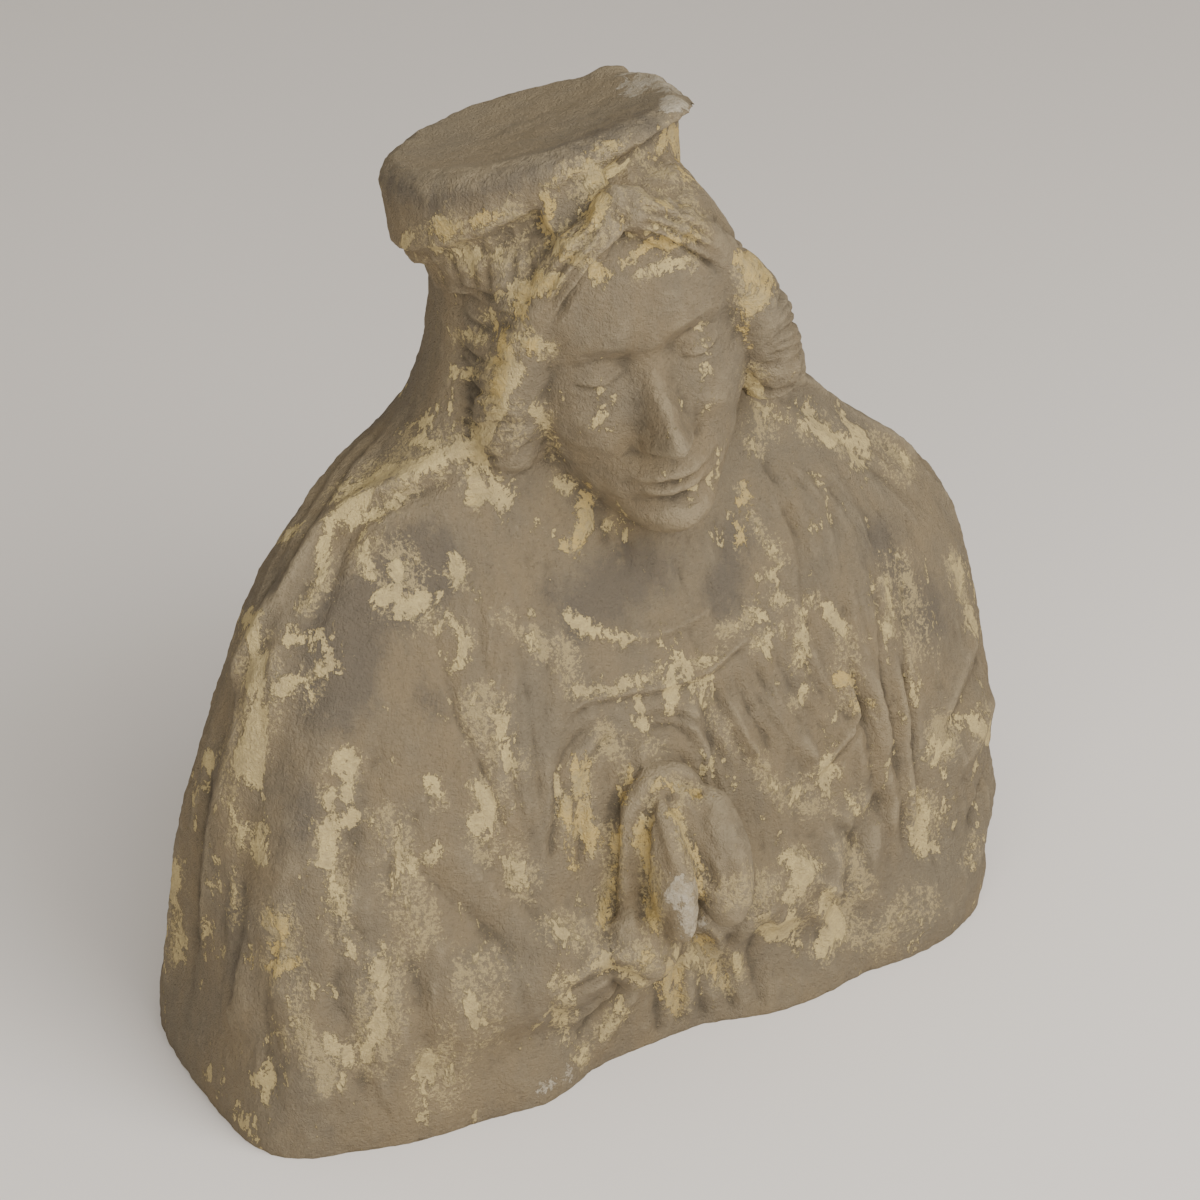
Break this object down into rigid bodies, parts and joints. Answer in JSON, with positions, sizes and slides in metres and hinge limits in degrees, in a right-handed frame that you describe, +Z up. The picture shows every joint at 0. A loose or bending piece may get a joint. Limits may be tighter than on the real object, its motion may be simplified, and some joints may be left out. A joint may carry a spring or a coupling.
{
  "type": "stone saint bust",
  "caption": "Carved stone bust of a praying saint, cut flat below, with a low drum hat, long hair and a draped mantle.",
  "frame": {"origin": "centre of the overall box, on the flat underside", "axes": "+Z up, -Y the way the figure faces, +X the figure's left"},
  "size_m": [0.38, 0.209, 0.4],
  "materials": {
    "stone": "grey-brown fine-grained stone, matt, with flaking ochre and cream paint remains"
  },
  "bodies": {
    "root": {"praying_saint_bust": "stone"}
  },
  "joints": []
}
